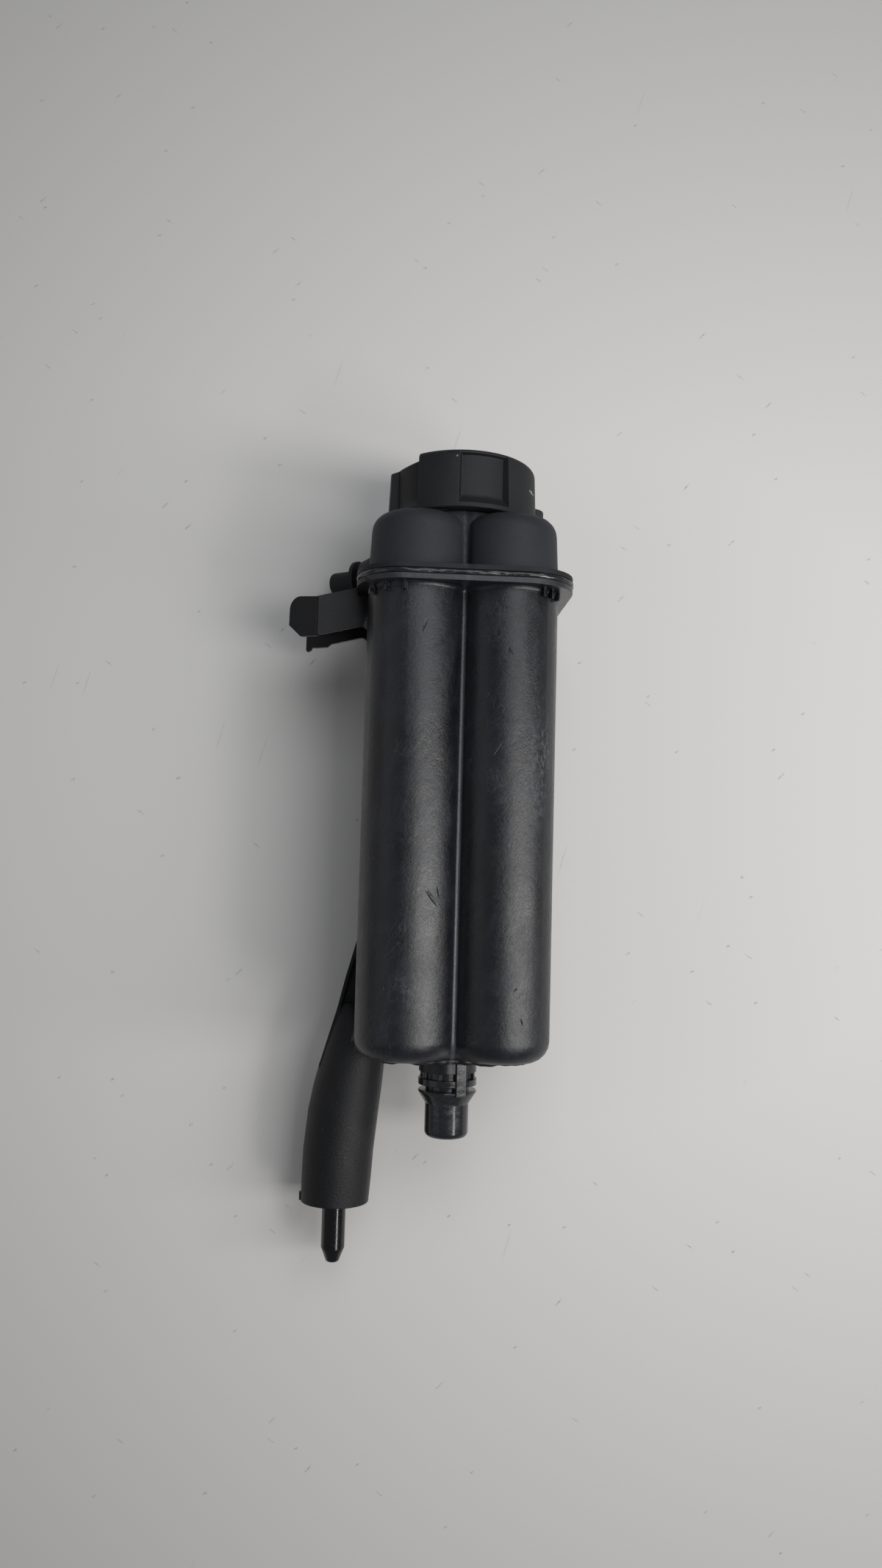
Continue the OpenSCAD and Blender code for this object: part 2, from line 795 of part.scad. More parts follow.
module bleed_seal() {
    translate([bleed_x, bleed_y, 0])
        ring_seal(top_z + boss_h - 1.3, 4.25, 1.15);
}

// Bell-shaped float that rides over the sensor's pocket
module level_float() {
    color("gainsboro")
        difference() {
            translate([well_xy, well_xy, 0])
                rotate_extrude()
                    polygon(concat(
                        [[float_bore, float_z], [float_r - 1, float_z], [float_r, float_z + 1]],
                        arc(float_r - 3, float_z + float_h - 3, 3, 0, 90, 5),
                        [[0, float_z + float_h], [0, float_z + float_h - 9],
                         [float_bore, float_z + float_h - 9]]
                    ));
            translate([well_xy, well_xy, float_z - 1])
                difference() {
                    cylinder(h = 6, r = 12.6);
                    translate([0, 0, -1])
                        cylinder(h = 8, r = 10.2);
                }
            translate([rod_xy, rod_xy, float_z + float_h - 8])
                cylinder(h = 9, r = rod_r + 0.02);
        }
}

module float_magnet() {
    color([0.35, 0.35, 0.37])
        translate([well_xy, well_xy, float_z + 0.4])
            difference() {
                cylinder(h = 4.5, r = 12.55);
                translate([0, 0, -1])
                    cylinder(h = 7, r = 10.25);
            }
}

module indicator_rod() {
    color("orange")
        translate([rod_xy, rod_xy, 0])
            rotate_extrude()
                polygon([
                    [0, float_z + float_h - 7.9], [rod_r, float_z + float_h - 7.9], [rod_r, rod_top - 1],
                    [rod_r - 1, rod_top], [0, rod_top]
                ]);
}

lower_shell();
upper_shell();
neck_guide();
cap_grip();
valve_insert();
insert_seal_lower();
insert_seal_upper();
spring_cover();
relief_plate();
relief_seal();
relief_spring();
vacuum_valve();
vacuum_seal();
vacuum_spring();
bleed_screw();
bleed_seal();
level_float();
float_magnet();
indicator_rod();
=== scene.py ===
import math

import bmesh
import bpy
from mathutils import Matrix, Vector


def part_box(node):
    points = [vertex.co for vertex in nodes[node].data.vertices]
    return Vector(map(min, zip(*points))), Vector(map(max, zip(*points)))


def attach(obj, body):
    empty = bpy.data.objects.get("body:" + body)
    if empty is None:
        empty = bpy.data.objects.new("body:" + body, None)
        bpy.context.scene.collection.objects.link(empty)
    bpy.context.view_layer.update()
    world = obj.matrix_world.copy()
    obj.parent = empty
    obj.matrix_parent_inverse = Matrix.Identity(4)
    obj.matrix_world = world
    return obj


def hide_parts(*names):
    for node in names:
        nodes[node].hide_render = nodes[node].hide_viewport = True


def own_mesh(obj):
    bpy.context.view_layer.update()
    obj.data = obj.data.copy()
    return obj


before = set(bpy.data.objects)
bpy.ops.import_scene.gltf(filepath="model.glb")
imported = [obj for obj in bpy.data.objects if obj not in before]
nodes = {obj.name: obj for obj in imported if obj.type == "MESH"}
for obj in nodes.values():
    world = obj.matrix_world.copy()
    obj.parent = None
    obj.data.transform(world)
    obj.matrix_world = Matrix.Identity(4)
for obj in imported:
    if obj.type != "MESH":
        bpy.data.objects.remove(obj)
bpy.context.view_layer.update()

# Camera: it stands about 0.56 m in front of the tank, a little to the left of its axis and low,
# looking slightly up, as the photograph was taken. The long side of the picture is upright.
camera_distance = 0.5642
camera_side = 0.00664
camera_aim_z = 0.1497
camera_pitch = math.radians(4.73)
camera_roll = math.radians(1.54)
camera_turn = math.radians(3.58)
picture_height = 2133
focal_pixels = 1604
film_height = 36
nearest_seen = 0.01
farthest_seen = 20

level_right = Vector((math.cos(camera_turn), -math.sin(camera_turn), 0))
view_axis = Vector((math.sin(camera_turn) * math.cos(camera_pitch),
                    math.cos(camera_turn) * math.cos(camera_pitch),
                    math.sin(camera_pitch)))
level_up = level_right.cross(view_axis)
right_axis = level_right * math.cos(camera_roll) + level_up * math.sin(camera_roll)
up_axis = level_up * math.cos(camera_roll) - level_right * math.sin(camera_roll)
camera_place = Vector((0, 0, camera_aim_z)) - level_right * camera_side - view_axis * camera_distance
camera_axes = Matrix((right_axis, up_axis, -view_axis)).transposed().to_4x4()

camera_data = bpy.data.cameras.new("camera")
camera_data.sensor_fit = "VERTICAL"
camera_data.sensor_height = film_height
camera_data.lens = film_height * focal_pixels / picture_height
camera_data.clip_start = nearest_seen
camera_data.clip_end = farthest_seen
camera = bpy.data.objects.new("camera", camera_data)
camera.matrix_world = Matrix.Translation(camera_place) @ camera_axes
bpy.context.scene.collection.objects.link(camera)
bpy.context.scene.camera = camera
bpy.context.scene.view_settings.view_transform = "Standard"

# Table top: the pale surface that the tank lies on in the photograph. With the tank upright it is a
# plane close behind it, which takes its shadow and is open from behind. Its colour carries painted light,
# brightest to the right of the tank, and painted shade that darkens it towards the corners. It has specks
# and hair scratches.
table_gap = 0.0535
table_half = 1.6
table_middle_z = 0.15
table_colour = (0.660, 0.648, 0.628)
table_shade = (0.638, 0.626, 0.606)
# Colour painted towards the corners as shade, the spot where the painted light is brightest, and how far
# each reaches
table_painted_corner_shade = (0.440, 0.430, 0.412)
table_painted_light_spot = (0.09, 0.0, 0.01)
painted_light_reach = 0.18
painted_corner_shade_reach = 0.56
dirt = (0.20, 0.20, 0.20)
faint_dirt = (0.28, 0.28, 0.28)
# Rows of marks: length and width of the cells, their slant, the mark's radius in its cell, the share
# of cells that hold one, its strength and its colour
table_marks = [(0.024, 0.012, 0.5, 0.060, 0.09, 0.60, dirt),
               (0.070, 0.012, 0.8, 0.045, 0.10, 0.60, dirt),
               (0.060, 0.010, -0.6, 0.045, 0.08, 0.55, dirt),
               (0.200, 0.012, 1.3, 0.050, 0.10, 0.30, faint_dirt)]


def add(tree, kind, **settings):
    """A shader node with its attributes and its inputs set by name."""
    node = tree.nodes.new("ShaderNode" + kind)
    for name, value in settings.items():
        if hasattr(node, name):
            setattr(node, name, value)
        else:
            socket = node.inputs[name.replace("_", " ")]
            if isinstance(value, bpy.types.NodeSocket):
                tree.links.new(value, socket)
            else:
                socket.default_value = value
    return node


def new_material(name):
    material = bpy.data.materials.new(name)
    material.use_nodes = True
    material.node_tree.nodes.clear()
    return material, material.node_tree


def output(tree, shader):
    end = tree.nodes.new("ShaderNodeOutputMaterial")
    tree.links.new(shader, end.inputs["Surface"])


def math_node(tree, operation, first, second=0.0):
    node = tree.nodes.new("ShaderNodeMath")
    node.operation = operation
    for index, value in enumerate((first, second)):
        if isinstance(value, bpy.types.NodeSocket):
            tree.links.new(value, node.inputs[index])
        else:
            node.inputs[index].default_value = value
    return node.outputs[0]


def times(tree, first, second):
    return math_node(tree, "MULTIPLY", first, second)


def larger(tree, first, second):
    return math_node(tree, "MAXIMUM", first, second)


def place_of(tree):
    return add(tree, "TexCoord").outputs["Object"]


def distance(tree, place, spot):
    node = add(tree, "VectorMath", operation="DISTANCE")
    tree.links.new(place, node.inputs[0])
    node.inputs[1].default_value = spot
    return node.outputs["Value"]


def noise(tree, place, scale, detail=2.0, roughness=0.5, distortion=0.0):
    node = add(tree, "TexNoise", Vector=place, Scale=scale, Detail=detail, Roughness=roughness,
               Distortion=distortion)
    return node.outputs["Fac"]


def between(tree, value, low, high, out_low=0.0, out_high=1.0):
    """Maps low..high to out_low..out_high and stops at both ends."""
    node = add(tree, "MapRange", clamp=True)
    tree.links.new(value, node.inputs["Value"])
    ends = (("From Min", low), ("From Max", high), ("To Min", out_low), ("To Max", out_high))
    for name, number in ends:
        node.inputs[name].default_value = number
    return node.outputs["Result"]


def mix_colour(tree, factor, first, second):
    node = tree.nodes.new("ShaderNodeMix")
    node.data_type = "RGBA"
    for socket, value in ((node.inputs[0], factor), (node.inputs[6], first), (node.inputs[7], second)):
        if isinstance(value, bpy.types.NodeSocket):
            tree.links.new(value, socket)
        else:
            socket.default_value = (*value, 1)
    return node.outputs[2]


def painted(tree, colour, *layers):
    """Colours laid over one another, each with its mask in 0..1 and its strength."""
    for mask, strength, paint in layers:
        colour = mix_colour(tree, times(tree, mask, strength), colour, paint)
    return colour


def mix_shader(tree, factor, first, second):
    node = tree.nodes.new("ShaderNodeMixShader")
    for socket, value in zip(node.inputs, (factor, first, second)):
        tree.links.new(value, socket)
    return node.outputs[0]


def scattered(tree, place, along, across, slant, radius, share):
    """Small marks strewn over the table: one cell in so many holds a mark, longer one way."""
    turned = add(tree, "Mapping", vector_type="TEXTURE", Vector=place, Rotation=(0, 0, slant),
                 Scale=(along, across, 1)).outputs[0]
    cells = add(tree, "TexVoronoi", voronoi_dimensions="2D", Vector=turned, Scale=1.0)
    chosen = add(tree, "SeparateColor", Color=cells.outputs["Color"]).outputs[0]
    mark = between(tree, cells.outputs["Distance"], 0.45 * radius, radius, 1.0, 0.0)
    ragged = between(tree, noise(tree, place, 1500.0, 3.0), 0.42, 0.56)
    return times(tree, times(tree, mark, ragged), between(tree, chosen, 1 - share, 1.01 - share))


def table_surface():
    """The pale top. From behind and to shadow rays it is clear, so that the rear lamps shine through."""
    material, tree = new_material("table_top")
    place = place_of(tree)
    cloud = noise(tree, place, 1.3, 2.0)
    tint_with_painted_light = mix_colour(tree, between(tree, cloud, 0.35, 0.65), table_colour, table_shade)
    # Painted light: brightest about the spot, fading into the corner colour as painted shade
    away = distance(tree, place, table_painted_light_spot)
    tint_with_painted_light = mix_colour(tree, between(tree, away, painted_light_reach, painted_corner_shade_reach), tint_with_painted_light, table_painted_corner_shade)
    parts = add(tree, "SeparateXYZ", Vector=place)
    flat = add(tree, "CombineXYZ", X=parts.outputs["X"], Y=parts.outputs["Z"]).outputs[0]
    for along, across, slant, radius, share, strength, paint in table_marks:
        mark = scattered(tree, flat, along, across, slant, radius, share)
        tint_with_painted_light = painted(tree, tint_with_painted_light, (mark, strength, paint))
    face = add(tree, "BsdfDiffuse", Color=tint_with_painted_light).outputs[0]
    clear = add(tree, "BsdfTransparent").outputs[0]
    behind = add(tree, "NewGeometry").outputs["Backfacing"]
    hide = larger(tree, behind, add(tree, "LightPath").outputs["Is Shadow Ray"])
    output(tree, mix_shader(tree, hide, face, clear))
    return material


corners = [(-table_half, 0, -table_half), (table_half, 0, -table_half),
           (table_half, 0, table_half), (-table_half, 0, table_half)]
mesh = bpy.data.meshes.new("table_top")
mesh.from_pydata(corners, [], [(0, 1, 2, 3)])
mesh.materials.append(table_surface())
table = bpy.data.objects.new("table_top", mesh)
table.location = (0, table_gap, table_middle_z)
bpy.context.scene.collection.objects.link(table)

# Lights: a wide window to the right and low, with the narrow edge of a second one under it, a broad
# ceiling light in front, a weak fill to the left and two lamps behind, so that every side reads. The
# room is dim, but pale where the camera looks at it, straight or through something.
lamp_aim = Vector((0, 0, 0.13))
daylight = (1.0, 0.99, 0.975)
warm_light = (1.0, 0.985, 0.96)
cool_light = (0.93, 0.96, 1.0)
rear_light = (0.97, 0.98, 1.0)
room_colour = (0.90, 0.93, 1.0, 1)
room_strength = 0.16
room_seen = (0.60, 0.60, 0.59, 1)


def soft_light(name, place, width, height, power, colour):
    """A rectangular lamp that points near the middle of the tank."""
    data = bpy.data.lights.new(name, "AREA")
    data.shape = "RECTANGLE"
    data.size = width
    data.size_y = height
    data.energy = power
    data.color = colour
    lamp = bpy.data.objects.new(name, data)
    lamp.location = place
    lamp.rotation_euler = (lamp_aim - Vector(place)).to_track_quat("-Z", "Y").to_euler()
    bpy.context.scene.collection.objects.link(lamp)


soft_light("window", (0.78, -1.00, 0.01), 1.45, 0.28, 11.2, daylight)
soft_light("window_edge", (0.76, -0.99, -0.42), 0.20, 0.36, 2.2, daylight)
soft_light("ceiling", (0.30, -1.30, 0.95), 1.3, 0.8, 8.0, cool_light)
soft_light("left_fill", (-1.3, -0.7, 0.2), 0.9, 1.0, 1.1, warm_light)
soft_light("rear_fill", (0.05, 1.40, 0.35), 0.9, 0.9, 13.0, rear_light)
soft_light("rear_side", (0.55, 1.25, 0.0), 0.4, 0.8, 4.0, warm_light)

world = bpy.data.worlds.new("room")
world.use_nodes = True
bpy.context.scene.world = world
tree = world.node_tree
tree.nodes.clear()
rays = add(tree, "LightPath")
seen = larger(tree, rays.outputs["Is Camera Ray"], rays.outputs["Is Transmission Ray"])
dim = add(tree, "Background", Color=room_colour, Strength=room_strength).outputs[0]
pale = add(tree, "Background", Color=room_seen, Strength=1.0).outputs[0]
end = tree.nodes.new("ShaderNodeOutputWorld")
tree.links.new(mix_shader(tree, seen, dim, pale), end.inputs["Surface"])

# Lower shell: the tall four-lobed tank, moulded in one piece in black glass-filled plastic with
# its flange, outlet spigot, arm and leg. The tank has a satin skin with flow marks and handling
# scratches, the arm and the leg have a fine spark-eroded grain, and the spigot and pin are polished.
tank_dark = (0.0028, 0.0032, 0.0046)
tank_pale = (0.0070, 0.0080, 0.0112)
tank_bloom = (0.0180, 0.0210, 0.0300)
rim_colour = (0.0190, 0.0205, 0.0255)
rub_colour = (0.150, 0.155, 0.170)
dust_colour = (0.17, 0.17, 0.165)
# Pale colour painted down the valleys as their highlight
valley_painted_highlight = (0.080, 0.083, 0.092)
scratch_colour = (0.060, 0.063, 0.072)
nick_colour = (0.003, 0.003, 0.004)
limb_dark = (0.0014, 0.0016, 0.0024)
limb_pale = (0.0042, 0.0046, 0.0062)
spigot_dark = (0.0050, 0.0054, 0.0068)
spigot_pale = (0.0210, 0.0218, 0.0250)
pin_colour = (0.0014, 0.0015, 0.0019)
wear_colour = (0.12, 0.12, 0.125)
edge_round = 0.0005
rim_bottom = 0.2364
# The line that the hose's connector has worn round the spigot
worn_line_z = 0.0006
# Heights between which the painted highlight down the valleys fades, and between which the skin
# gets glossier
groove_foot = 0.03
groove_head = 0.235
gloss_foot = 0.130
gloss_head = 0.200
# Where one finish of the moulding ends and the next begins
spigot_top = 0.0166
spigot_side = -0.0150
pin_top = -0.0522
pin_dark_top = -0.0500
body_side = -0.0446
body_bottom = 0.0231
leg_side = -0.0200
limb_slot = 1
polished_slot = 2
# A mould has no facets: shading runs smoothly over every edge that turns less than this
facet_angle = math.radians(30)
# Corners of facets that stand this close together are one corner
merge_distance = 2e-6
# Nicks, each with its middle, its half width, half depth and half height, and its slant
nicks = [((-0.0120, -0.0424, 0.0960), (0.0009, 0.004, 0.0056), -0.65),
         ((-0.0090, -0.0412, 0.0985), (0.0006, 0.004, 0.0030), -0.2),
         ((-0.0267, -0.0437, 0.0747), (0.0010, 0.004, 0.0042), 0.75),
         ((-0.0297, -0.0427, 0.0710), (0.0007, 0.004, 0.0022), 0.9),
         ((-0.0187, -0.0441, 0.2165), (0.0007, 0.004, 0.0040), 0.35),
         ((0.0199, -0.0442, 0.2067), (0.0006, 0.004, 0.0026), -0.5),
         ((0.0160, -0.0437, 0.1625), (0.0005, 0.004, 0.0040), 0.6),
         ((0.0334, -0.0408, 0.1819), (0.0006, 0.004, 0.0012), 0.0),
         ((-0.0315, -0.0418, 0.0564), (0.0005, 0.004, 0.0016), 0.1),
         ((0.0255, -0.0439, 0.0568), (0.0005, 0.004, 0.0013), 0.8),
         ((0.0288, -0.0430, 0.0429), (0.0004, 0.004, 0.0018), -0.3)]
# Rubbed places, pale and dull, given alike: the largest is on the right-hand lobe, halfway up
rubs = [((0.0372, -0.0380, 0.1600), (0.0110, 0.014, 0.0270), 0.15),
        ((0.0330, -0.0405, 0.1400), (0.0075, 0.014, 0.0150), 0.0),
        ((-0.0150, -0.0436, 0.1300), (0.0045, 0.012, 0.0150), 0.5),
        ((-0.0180, -0.0440, 0.0560), (0.0080, 0.012, 0.0100), 0.7)]
# Smudges, where dirt dulls the skin
smudges = [((0.0157, -0.0437, 0.1135), (0.0110, 0.014, 0.0080), 0.3),
           ((-0.0275, -0.0437, 0.0770), (0.0080, 0.014, 0.0075), 0.6),
           ((-0.0310, -0.0430, 0.0930), (0.0060, 0.014, 0.0110), 0.2),
           ((0.0120, -0.0437, 0.0850), (0.0050, 0.014, 0.0060), 0.9)]


def height_of(tree, place):
    return add(tree, "SeparateXYZ", Vector=place).outputs["Z"]


def minus(tree, first, second):
    return math_node(tree, "SUBTRACT", first, second)


def below(tree, value, limit, softness):
    return between(tree, value, limit - softness, limit + softness, 1.0, 0.0)


def above(tree, value, limit, softness):
    return between(tree, value, limit - softness, limit + softness, 0.0, 1.0)


def add_up(tree, *values):
    total = values[0]
    for value in values[1:]:
        total = math_node(tree, "ADD", total, value)
    return total


def stretched(tree, place, x, y, z, turn=(0, 0, 0)):
    """Places turned first and then scaled, so that a streak runs along the turned z axis."""
    node = add(tree, "Mapping", vector_type="TEXTURE", Vector=place, Scale=(1 / x, 1 / y, 1 / z),
               Rotation=turn)
    return node.outputs[0]


def scratches(tree, place, turn, density, keep, width=0.012):
    """Fine straight lines: cell edges of a stretched pattern, kept only in patches."""
    lines = add(tree, "TexVoronoi", feature="DISTANCE_TO_EDGE",
                Vector=stretched(tree, place, density, density, density / 14, turn), Scale=1.0)
    thin = between(tree, lines.outputs["Distance"], 0.0, width, 1.0, 0.0)
    patch = between(tree, noise(tree, place, 45.0, 2.0), keep, keep + 0.08)
    return times(tree, thin, patch)


def ellipse(tree, place, centre, size, turn):
    """1 in the middle of an ellipse, falling to 0 at its edge."""
    moved = add(tree, "Mapping", vector_type="TEXTURE", Vector=place, Location=centre,
                Rotation=(0, turn, 0), Scale=size)
    length = add(tree, "VectorMath", operation="LENGTH")
    tree.links.new(moved.outputs[0], length.inputs[0])
    return between(tree, length.outputs["Value"], 0.25, 1.0, 1.0, 0.0)


def strongest(tree, place, marks):
    """The strongest of several elliptical marks at each place."""
    total = None
    for centre, size, turn in marks:
        mark = ellipse(tree, place, centre, size, turn)
        total = mark if total is None else larger(tree, total, mark)
    return total


def valley_line(tree, place, offset, half_width, wobble=0.0):
    """1 along a line down the front and the rear valley between two lobes, offset from the middle."""
    x = add(tree, "SeparateXYZ", Vector=place).outputs["X"]
    if wobble:
        wave = noise(tree, stretched(tree, place, 0.01, 0.01, 1.0), 260.0, 3.0, 0.6)
        x = add_up(tree, x, between(tree, wave, 0.0, 1.0, -wobble, wobble))
    off = math_node(tree, "ABSOLUTE", minus(tree, x, offset))
    return between(tree, off, 0.4 * half_width, half_width, 1.0, 0.0)


def bump(tree, *layers):
    """Bump layers in a row, each a height in 0..1 and the depth in metres that it stands for.
    They start from a normal that rounds the moulded edges a little."""
    normal = add(tree, "Bevel", samples=6, Radius=edge_round).outputs["Normal"]
    for height, depth in layers:
        node = add(tree, "Bump", Strength=1.0, Distance=depth)
        tree.links.new(height, node.inputs["Height"])
        tree.links.new(normal, node.inputs["Normal"])
        normal = node.outputs["Normal"]
    return normal


def plastic(tree, colour, roughness, normal, specular=0.5):
    shader = tree.nodes.new("ShaderNodeBsdfPrincipled")
    tree.links.new(colour, shader.inputs["Base Color"])
    tree.links.new(roughness, shader.inputs["Roughness"])
    tree.links.new(normal, shader.inputs["Normal"])
    shader.inputs["Specular IOR Level"].default_value = specular
    output(tree, shader.outputs[0])


def link_rounding(group):
    """Joins the facets of a solid along their edges and shades it smoothly over the flat ones."""
    group.interface.new_socket("Geometry", in_out="INPUT", socket_type="NodeSocketGeometry")
    group.interface.new_socket("Geometry", in_out="OUTPUT", socket_type="NodeSocketGeometry")
    step = group.nodes.new
    link = group.links.new
    start, end = step("NodeGroupInput"), step("NodeGroupOutput")
    merge = step("GeometryNodeMergeByDistance")
    merge.inputs["Distance"].default_value = merge_distance
    forget = step("GeometryNodeRemoveAttribute")
    forget.inputs["Name"].default_value = "custom_normal"
    faces, edges = step("GeometryNodeSetShadeSmooth"), step("GeometryNodeSetShadeSmooth")
    faces.domain, edges.domain = "FACE", "EDGE"
    angle, flat = step("GeometryNodeInputMeshEdgeAngle"), step("FunctionNodeCompare")
    flat.operation = "LESS_THAN"
    flat.inputs[1].default_value = facet_angle
    link(angle.outputs["Unsigned Angle"], flat.inputs[0])
    link(flat.outputs[0], edges.inputs["Shade Smooth"])
    chain = (start, merge, forget, faces, edges, end)
    for first, second in zip(chain, chain[1:]):
        link(first.outputs[0], second.inputs[0])


rounding_group = bpy.data.node_groups.new("rounding", "GeometryNodeTree")
link_rounding(rounding_group)


def finish_node(name, *materials):
    """Gives a solid its materials and its smooth shading."""
    nodes[name].data.materials.clear()
    for material in materials:
        nodes[name].data.materials.append(material)
    rounding = nodes[name].modifiers.new("rounding", "NODES")
    rounding.node_group = rounding_group
    even = nodes[name].modifiers.new("even", "WEIGHTED_NORMAL")
    even.keep_sharp = True


def tank_skin():
    """Satin skin of the tank, with flow marks, cloudy bloom, a fine unevenness and handling marks,
    and a pale line painted down the valleys as their highlight.
    """
    material, tree = new_material("tank_skin")
    place = place_of(tree)
    z = height_of(tree, place)
    flow = noise(tree, stretched(tree, place, 1.0, 1.0, 0.45, (0.1, 0.25, 0)), 26.0, 4.0, 0.6, 0.8)
    blotch = noise(tree, stretched(tree, place, 1.0, 1.0, 0.6, (0.2, 0.55, 0)), 75.0, 5.0, 0.68, 0.9)
    cloud = noise(tree, place, 60.0, 4.0, 0.65)
    mottle = noise(tree, stretched(tree, place, 1.0, 1.0, 0.55, (0.2, 0.6, 0)), 1150.0, 4.0, 0.75)
    fine = noise(tree, place, 2600.0, 2.0)
    orange_peel = noise(tree, place, 330.0, 4.0, 0.65)
    ragged = noise(tree, stretched(tree, place, 1.0, 1.0, 0.6), 650.0, 5.0, 0.75)

    scratch = add_up(tree, scratches(tree, place, (0.1, 0.55, 0.2), 300.0, 0.54, 0.030),
                     scratches(tree, place, (0.3, -0.35, 0.1), 240.0, 0.57, 0.024),
                     scratches(tree, place, (-0.2, 1.10, 0.3), 360.0, 0.56, 0.034))
    speck = times(tree, between(tree, noise(tree, place, 900.0, 2.0), 0.72, 0.76),
                  between(tree, noise(tree, place, 18.0, 3.0), 0.48, 0.64))
    rub = times(tree, strongest(tree, place, rubs), between(tree, ragged, 0.46, 0.62))
    nick = times(tree, strongest(tree, place, nicks), between(tree, ragged, 0.30, 0.45))
    smudge = times(tree, strongest(tree, place, smudges), between(tree, blotch, 0.36, 0.60))
    # Painted highlight down the front and the rear valley, strongest low down
    groove = times(tree, valley_line(tree, place, 0.0, 0.0013),
                   between(tree, z, groove_foot, groove_head, 1.0, 0.35))
    groove = times(tree, groove, between(tree, cloud, 0.30, 0.60, 0.6, 1.0))

    colour = mix_colour(tree, between(tree, flow, 0.35, 0.7), tank_dark, tank_pale)
    colour = painted(tree, colour,
                     (between(tree, blotch, 0.46, 0.74), 0.45, tank_bloom),
                     (above(tree, z, rim_bottom, 0.0001), 0.70, rim_colour),
                     (scratch, 0.20, scratch_colour),
                     (smudge, 0.75, tank_dark),
                     (rub, 0.42, rub_colour),
                     (groove, 0.75, valley_painted_highlight),
                     (nick, 0.60, nick_colour),
                     (speck, 0.50, dust_colour))
    roughness = add_up(tree, between(tree, add_up(tree, flow, cloud, blotch), 1.15, 1.85, 0.28, 0.46),
                       between(tree, mottle, 0.35, 0.65, -0.05, 0.05),
                       times(tree, scratch, 0.12), times(tree, rub, 0.18), times(tree, smudge, 0.10),
                       between(tree, z, gloss_foot, gloss_head, 0.0, -0.04))
    normal = bump(tree, (flow, 0.0004), (blotch, 0.00022), (orange_peel, 0.00010), (mottle, 0.00009),
                  (fine, 0.00003), (minus(tree, 1.0, nick), 0.00025), (minus(tree, 1.0, scratch), 0.00002))
    plastic(tree, colour, roughness, normal, 0.56)
    return material


def limb_grain():
    """Fine spark-eroded grain of the arm and the leg."""
    material, tree = new_material("limb_grain")
    place = place_of(tree)
    pebble = noise(tree, place, 1500.0, 3.0, 0.6)
    cloud = noise(tree, place, 38.0, 4.0, 0.6)
    speck = between(tree, noise(tree, place, 1100.0, 2.0), 0.73, 0.77)
    colour = mix_colour(tree, between(tree, add_up(tree, pebble, cloud), 0.75, 1.25), limb_dark, limb_pale)
    colour = painted(tree, colour, (speck, 0.35, dust_colour))
    plastic(tree, colour, between(tree, cloud, 0.3, 0.7, 0.44, 0.54),
            bump(tree, (cloud, 0.0002), (pebble, 0.00024)), 0.36)
    return material


def polished_end():
    """Polished spigot and pin, where seals slide, with wear from the hose's connector."""
    material, tree = new_material("polished_end")
    place = place_of(tree)
    z = height_of(tree, place)
    smear = noise(tree, stretched(tree, place, 1.0, 1.0, 3.0), 160.0, 4.0, 0.65)
    scratch = add_up(tree, scratches(tree, place, (0.1, 1.5, 0.2), 520.0, 0.44),
                     scratches(tree, place, (0.4, 1.2, 0.1), 380.0, 0.48))
    off = math_node(tree, "ABSOLUTE", minus(tree, z, worn_line_z))
    line = times(tree, between(tree, off, 0.0001, 0.0003, 1.0, 0.0),
                 between(tree, noise(tree, place, 420.0, 3.0), 0.42, 0.60))
    worn = larger(tree, times(tree, scratch, 0.5), line)
    colour = painted(tree, mix_colour(tree, smear, spigot_dark, spigot_pale),
                     (below(tree, z, pin_dark_top, 0.0005), 1.0, pin_colour),
                     (worn, 0.6, wear_colour))
    roughness = add_up(tree, between(tree, smear, 0.3, 0.7, 0.12, 0.24), times(tree, worn, 0.25))
    plastic(tree, colour, roughness, bump(tree, (smear, 0.00006)), 0.60)
    return material


tank_plastic = tank_skin()
finish_node("lower_shell", tank_plastic, limb_grain(), polished_end())
for face in nodes["lower_shell"].data.polygons:
    x, _, z = face.center
    if z < pin_top or z < spigot_top and x > spigot_side:
        face.material_index = polished_slot
    elif x < body_side or z < body_bottom and x < leg_side:
        face.material_index = limb_slot

# Flash under the tank: the thin wavy lip of plastic that was squeezed into the mould's bottom joint.
# It is one with the lower shell and hangs two or three millimetres below the lobes.
flash_left = -0.0340
flash_right = 0.0365
flash_y = -0.0200
flash_root = 0.0237
flash_edge = 0.0205
flash_half = 0.00035
flash_bevel = 0.0002
flash_step = 0.0005
flash_run_in = 8
flash_ragged = 0.0007
flash_wander = 0.0006
# Waves that make an edge uneven: each one's share, its length divided by 2 pi, and how far a shift
# moves it
ripple_waves = [(0.5, 0.0042, 1.0), (0.3, 0.0017, 2.1), (0.2, 0.0009, 3.7)]


def ripple(gone, shift):
    """An uneven edge of melt, from -1 to 1, the sum of the waves at a place along it."""
    return sum(share * math.sin(gone / length + turn * shift) for share, length, turn in ripple_waves)


def loft(name, rings, closed=True):
    """A mesh through rings of points, its faces turned outward. closed joins the last ring to the first."""
    count = len(rings[0])
    points = [p for ring in rings for p in ring]
    faces = []
    for j in range(len(rings) if closed else len(rings) - 1):
        a, b = j * count, ((j + 1) % len(rings)) * count
        for i in range(count):
            k = (i + 1) % count
            faces.append((a + i, a + k, b + k, b + i))
    if not closed:
        faces.append(tuple(reversed(range(count))))
        faces.append(tuple(range(len(points) - count, len(points))))
    mesh = bpy.data.meshes.new(name)
    mesh.from_pydata(points, [], faces)
    mesh.polygons.foreach_set("use_smooth", [True] * len(faces))
    solid = bmesh.new()
    solid.from_mesh(mesh)
    bmesh.ops.recalc_face_normals(solid, faces=solid.faces)
    solid.to_mesh(mesh)
    solid.free()
    mesh.update()
    piece = bpy.data.objects.new(name, mesh)
    bpy.context.scene.collection.objects.link(piece)
    return piece


